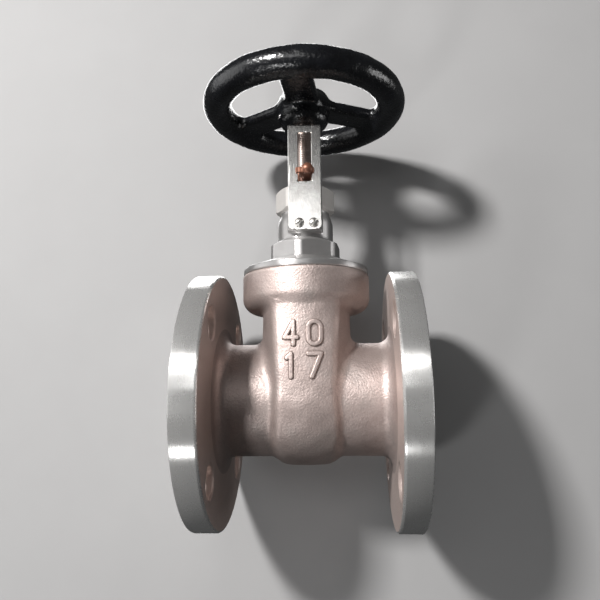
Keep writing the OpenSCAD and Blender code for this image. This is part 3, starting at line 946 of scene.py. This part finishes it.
def machined_finish(name, colour, dull, axis, roughness, metallic=0.8, stain=0.35, anisotropic=0.8):
    """Turned metal: fine lines round the part, faint stains and rubbed edges."""
    finish = Finish(name, Metallic=metallic, Anisotropic=anisotropic, Anisotropic_Rotation=0.25)
    smooth, rough = roughness
    lines = finish.turning(axis)
    fine = finish.noise(0.12, 2, vector=lines)
    broad = finish.noise(1.1, 2, vector=lines)
    patches = finish.ramp(finish.noise(12, 4, roughness=0.6), (0.45, 0.0), (0.75, stain))
    tone = finish.mix(patches, shade(*colour), shade(*dull))
    tone = finish.mix(0.25, tone, finish.ramp(broad, (0.3, 0.82), (0.7, 1.0)), "MULTIPLY")
    rubbed = [min(level + 25, 240) for level in colour]
    tone = finish.mix(finish.edges(0.52, 0.58), tone, shade(*rubbed))
    fine_level = finish.ramp(fine, (0.3, smooth), (0.7, rough))
    patch_level = finish.ramp(finish.noise(5, 3), (0.35, smooth), (0.75, rough + 0.05))
    normal = finish.bump((fine, 0.002), (broad, 0.004), (finish.noise(9, 2), 0.02))
    tangent = finish.node("ShaderNodeTangent", direction_type="RADIAL", axis=axis).outputs[0]
    level = finish.mix(0.5, fine_level, patch_level)
    return finish.set(Base_Color=tone, Roughness=level, Normal=normal, Tangent=tangent)


def paint_finish():
    """Thick black gloss paint over a rough casting, with a little dust."""
    finish = Finish("wheel_black", Metallic=0.0, Specular_IOR_Level=0.4, Coat_Weight=0.35,
                    Coat_Roughness=0.06)
    patches = finish.ramp(finish.noise(9, 4), (0.35, 0.0), (0.7, 1.0))
    tone = finish.mix(patches, shade(9, 9, 11), shade(19, 20, 23))
    dust = finish.ramp(finish.noise(0.9, 4), (0.6, 0.0), (0.78, 0.4))
    tone = finish.mix(dust, tone, shade(38, 39, 41))
    rough = finish.ramp(finish.noise(2.2, 3), (0.3, 0.2), (0.7, 0.32))
    normal = finish.bump((finish.noise(1.3, 2), 0.2), (finish.noise(0.55, 2), 0.05),
                         (finish.noise(5, 2), 0.3))
    return finish.set(Base_Color=tone, Roughness=rough, Normal=normal, Coat_Normal=normal)


def brushed_finish(name, colour, dull, stretch, roughness):
    """Sheet or bar metal with straight brush lines, scratches and stains."""
    finish = Finish(name, Metallic=1.0)
    smooth, rough = roughness
    brush = finish.noise(0.09, 2, stretch)
    scratch = finish.ramp(finish.noise(1.2, 2, (1, 1, 0.06), turn=(0, 0.5, 0)), (0.66, 0.0), (0.7, 1.0))
    stain = finish.ramp(finish.noise(5, 4, roughness=0.65), (0.4, 0.0), (0.75, 0.8))
    tone = finish.mix(stain, shade(*colour), shade(*dull))
    tone = finish.mix(finish.edges(0.52, 0.6), tone, shade(236, 235, 232))
    level = finish.mix(scratch, finish.ramp(brush, (0.3, smooth), (0.7, rough)), (0.5, 0.5, 0.5, 1))
    normal = finish.bump((brush, 0.004), (scratch, 0.006), (finish.noise(1.1, 3), 0.008))
    return finish.set(Base_Color=tone, Roughness=level, Normal=normal)


def packing_finish():
    """Braided packing, greased black."""
    finish = Finish("packing_black", Metallic=0.0)
    tone = finish.ramp(finish.noise(0.5, 4), (0.3, shade(22, 22, 23)), (0.7, shade(48, 47, 46)))
    rough = finish.ramp(finish.noise(0.8, 2), (0.3, 0.6), (0.7, 0.85))
    normal = finish.bump((finish.noise(0.4, 3), 0.1))
    return finish.set(Base_Color=tone, Roughness=rough, Normal=normal)


# ---------------------------------------------------------------- camera
CAMERA_TARGET = Vector(((STEM_X - 3.1) * MM, 0, 48.2 * MM))
CAMERA_AZIMUTH = 3.92
CAMERA_ELEVATION = -9.12
CAMERA_ROLL = -0.63
CAMERA_DISTANCE = 292.4 * MM
CAMERA_LENS = 35.66
CAMERA_SENSOR = 36


def direction(azimuth, elevation):
    """Unit vector out from the valve; azimuth is in degrees from straight ahead of its front towards +X."""
    across, ahead = math.sin(math.radians(azimuth)), math.cos(math.radians(azimuth))
    level, up = cos_sin(elevation)
    return Vector((across * level, -ahead * level, up))


def make_camera():
    """Camera a little below the middle of the valve, which looks at its front."""
    back = direction(CAMERA_AZIMUTH, CAMERA_ELEVATION)
    roll = Matrix.Rotation(math.radians(CAMERA_ROLL), 3, "Z")
    turn = (-back).to_track_quat("-Z", "Y").to_matrix() @ roll
    camera = bpy.data.objects.new("camera", bpy.data.cameras.new("camera"))
    bpy.context.scene.collection.objects.link(camera)
    camera.matrix_world = Matrix.Translation(CAMERA_TARGET + back * CAMERA_DISTANCE) @ turn.to_4x4()
    camera.data.lens = CAMERA_LENS
    camera.data.sensor_width = CAMERA_SENSOR
    camera.data.clip_start = 0.01
    camera.data.clip_end = 20
    bpy.context.scene.camera = camera


# ---------------------------------------------------------------- floor and light
FLOOR_HALF = 2.0
FLOOR_GAP = 0.5
FLOOR_TONE = (0.34, 0.336, 0.336)
SEEN_TONE = (0.5, 0.49, 0.49, 1)
FILL_TONE = (0.95, 0.98, 1.0, 1)
FILL_STRENGTH = 0.05
LAMP_TARGET = Vector((STEM_X, 0, 60)) * MM


def make_floor():
    """The pale surface that the valve lies on with its back; it can't be seen from behind."""
    mesh = bpy.data.meshes.new("floor")
    grid = bmesh.new()
    bmesh.ops.create_grid(grid, x_segments=8, y_segments=8, size=FLOOR_HALF)
    grid.to_mesh(mesh)
    grid.free()
    floor = bpy.data.objects.new("floor", mesh)
    bpy.context.scene.collection.objects.link(floor)
    place = Matrix.Translation((STEM_X * MM, cad_high.y + FLOOR_GAP * MM, 0))
    floor.matrix_world = place @ Matrix.Rotation(math.pi / 2, 4, "X")
    finish = Finish("floor", Roughness=0.85)
    darker = tuple(level * 0.97 for level in FLOOR_TONE)
    finish.set(Base_Color=finish.ramp(finish.noise(40, 3), (0.3, (*FLOOR_TONE, 1)), (0.7, (*darker, 1))))
    clear = finish.node("ShaderNodeBsdfTransparent").outputs[0]
    behind = finish.node("ShaderNodeNewGeometry").outputs["Backfacing"]
    pick = finish.node("ShaderNodeMixShader", {0: behind, 1: finish.shader.outputs[0], 2: clear})
    finish.tree.links.new(pick.outputs[0], finish.output.inputs["Surface"])
    mesh.materials.append(finish.material)
    floor.visible_shadow = False
    floor.visible_diffuse = False
    floor.visible_glossy = False


def make_lamp(name, azimuth, elevation, distance, width, height, energy, colour=(1, 1, 1)):
    """Soft rectangular lamp, which faces the valve from a direction; its sizes are in metres."""
    way = direction(azimuth, elevation)
    lamp = bpy.data.objects.new(name, bpy.data.lights.new(name, "AREA"))
    lamp.data.energy = energy
    lamp.data.shape = "RECTANGLE"
    lamp.data.size = width
    lamp.data.size_y = height
    lamp.data.color = colour
    lamp.location = LAMP_TARGET + way * distance
    lamp.rotation_mode = "QUATERNION"
    lamp.rotation_quaternion = (-way).to_track_quat("-Z", "Y")
    bpy.context.scene.collection.objects.link(lamp)


def make_world():
    """A plain backdrop for the camera, and a much dimmer fill for everything else."""
    world = bpy.data.worlds.new("world")
    bpy.context.scene.world = world
    world.use_nodes = True
    nodes, links = world.node_tree.nodes, world.node_tree.links
    seen = nodes["Background"]
    seen.inputs["Color"].default_value = SEEN_TONE
    seen.inputs["Strength"].default_value = 1.0
    fill = nodes.new("ShaderNodeBackground")
    fill.inputs["Color"].default_value = FILL_TONE
    fill.inputs["Strength"].default_value = FILL_STRENGTH
    ray = nodes.new("ShaderNodeLightPath")
    pick = nodes.new("ShaderNodeMixShader")
    links.new(ray.outputs["Is Camera Ray"], pick.inputs[0])
    links.new(fill.outputs[0], pick.inputs[1])
    links.new(seen.outputs[0], pick.inputs[2])
    links.new(pick.outputs[0], nodes["World Output"].inputs["Surface"])


# ---------------------------------------------------------------- the valve
def make_body():
    """The casting, its raised numbers and both machined flanges."""
    bronze = cast_finish()
    rim_metal = machined_finish("machined_flange", (206, 205, 203), (182, 178, 175), "X",
                                (0.24, 0.31), metallic=0.75, stain=0.3, anisotropic=1.0)
    body = field_piece("body_casting", casting, (-42, -38, -38), (42, 38, 61), 0.8)
    finish_piece(body, "valve", bronze, ["valve_body"])
    numbers = spun(raised_numbers, HOUSING_TURN)
    numbers = field_piece("cast_numerals", numbers, (-13, -33, 6.5), (11, -26, 37), 0.25, 60)
    finish_piece(numbers, "valve", bronze)
    for name, side in (("inlet_flange", -1), ("outlet_flange", 1)):
        disc = finish_piece(make_flange(name, side), "valve", rim_metal)
        paint_back(disc, side, bronze)


def make_bonnet():
    """Bonnet with its gland nut."""
    bonnet_metal = machined_finish("bonnet_bronze", (186, 184, 183), (158, 154, 152), "Z", (0.36, 0.46))
    gland_metal = machined_finish("gland_bronze", (212, 208, 204), (184, 177, 171), "Z", (0.45, 0.55),
                                  metallic=0.45)
    piece = spun(bonnet, BONNET_TURN)
    piece = field_piece("bonnet_turned", piece, (-31, -31, 51), (31, 31, 98), 0.6, 28)
    finish_piece(piece, "valve", bonnet_metal, ["bonnet"])
    piece = field_piece("gland_hexagon", gland_nut, (-16, -16, 90), (16, 16, 104.6), 0.4, 28)
    finish_piece(piece, "valve", gland_metal, ["gland_nut"])


def make_indicator(screw_metal):
    """Slotted plate with its two screws, and the pointer that travels in it."""
    plate_metal = brushed_finish("plate_steel", (226, 224, 221), (204, 200, 196), (1, 1, 0.05),
                                 (0.14, 0.26))
    copper = machined_finish("pointer_copper", (128, 86, 69), (84, 58, 49), "Z", (0.34, 0.46),
                             metallic=0.6, stain=1.0, anisotropic=0.0)
    piece = spun(pointer_plate, BONNET_TURN)
    piece = field_piece("plate_sheet", piece, (-10, -19.5, 78), (10, -15, 131.5), 0.32, 28)
    finish_piece(piece, "valve", plate_metal, ["pointer_plate"])
    for side, screw_x, degrees in zip(("left", "right"), SCREW_X, SCREW_ANGLES):
        piece = spun(plate_screw(screw_x, degrees), BONNET_TURN)
        middle = screw_x * math.cos(math.radians(BONNET_TURN)) + 1
        low, high = (middle - 4, -21, SCREW_Z - 4), (middle + 4, -11, SCREW_Z + 4)
        piece = field_piece(f"{side}_screw_slotted", piece, low, high, 0.13)
        finish_piece(piece, "valve", screw_metal, [f"{side}_plate_screw"])
    piece = spun(pointer_nut, BONNET_TURN)
    piece = field_piece("pointer_slider", piece, (-10, -22.5, 105), (10, 10, 112.5), 0.25)
    finish_piece(piece, "pointer", copper, ["pointer_nut"])


def make_wheel_and_stem(screw_metal):
    """Handwheel, the stem, and the nut and washer that hold the wheel."""
    stem_metal = machined_finish("stem_brass", (182, 167, 160), (144, 124, 114), "Z", (0.3, 0.4))
    piece = spun(handwheel, WHEEL_TURN)
    piece = field_piece("wheel_casting", piece, (-53, -53, 134), (53, 53, 157), 0.65, 50)
    finish_piece(piece, "wheel_and_stem", paint_finish(), ["handwheel"])
    finish_piece(make_stem("stem_turned"), "wheel_and_stem", stem_metal, ["stem"])
    piece = field_piece("top_nut", wheel_nut, (-9, -9, 155.5), (9, 9, 160), 0.25, 28)
    finish_piece(piece, "wheel_and_stem", screw_metal, ["wheel_nut"])
    piece = field_piece("top_washer", wheel_washer, (-10, -10, 154.4), (10, 10, 157), 0.25, 28)
    finish_piece(piece, "wheel_and_stem", screw_metal, ["wheel_washer"])


def paint_cad_nodes():
    """Materials of the CAD's own solids that are shown as they are."""
    trim_metal = machined_finish("trim_bronze", (190, 158, 128), (160, 126, 98), "X", (0.26, 0.36))
    packing = packing_finish()
    for node in ("inlet_seat_ring", "outlet_seat_ring", "wedge_gate", "gland_bush"):
        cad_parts[node].material_slots[0].material = trim_metal
    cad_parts["packing_ring"].material_slots[0].material = packing


make_camera()
make_body()
make_bonnet()
screw_steel = brushed_finish("screw_steel", (196, 194, 190), (150, 146, 140), (0.4, 1, 0.4), (0.36, 0.48))
make_indicator(screw_steel)
make_wheel_and_stem(screw_steel)
paint_cad_nodes()

make_floor()
# Each lamp's azimuth, elevation, distance, width, height, power and colour
make_lamp("key", -32, 25, 1.0, 0.12, 0.12, 16, (1, 0.99, 0.98))
make_lamp("low", -32, -40.6, 1.0, 0.12, 0.1, 2.0)
make_lamp("left_card", -80, 10, 1.1, 0.9, 0.9, 4)
make_lamp("front_card", -8, 13.5, 1.0, 0.5, 0.26, 1.05)
make_lamp("right_card", 90, -3.4, 1.0, 0.4, 0.4, 2.5)
make_lamp("back", -165, 35, 1.0, 0.6, 0.6, 5)
make_world()
bpy.context.scene.view_settings.view_transform = "Standard"
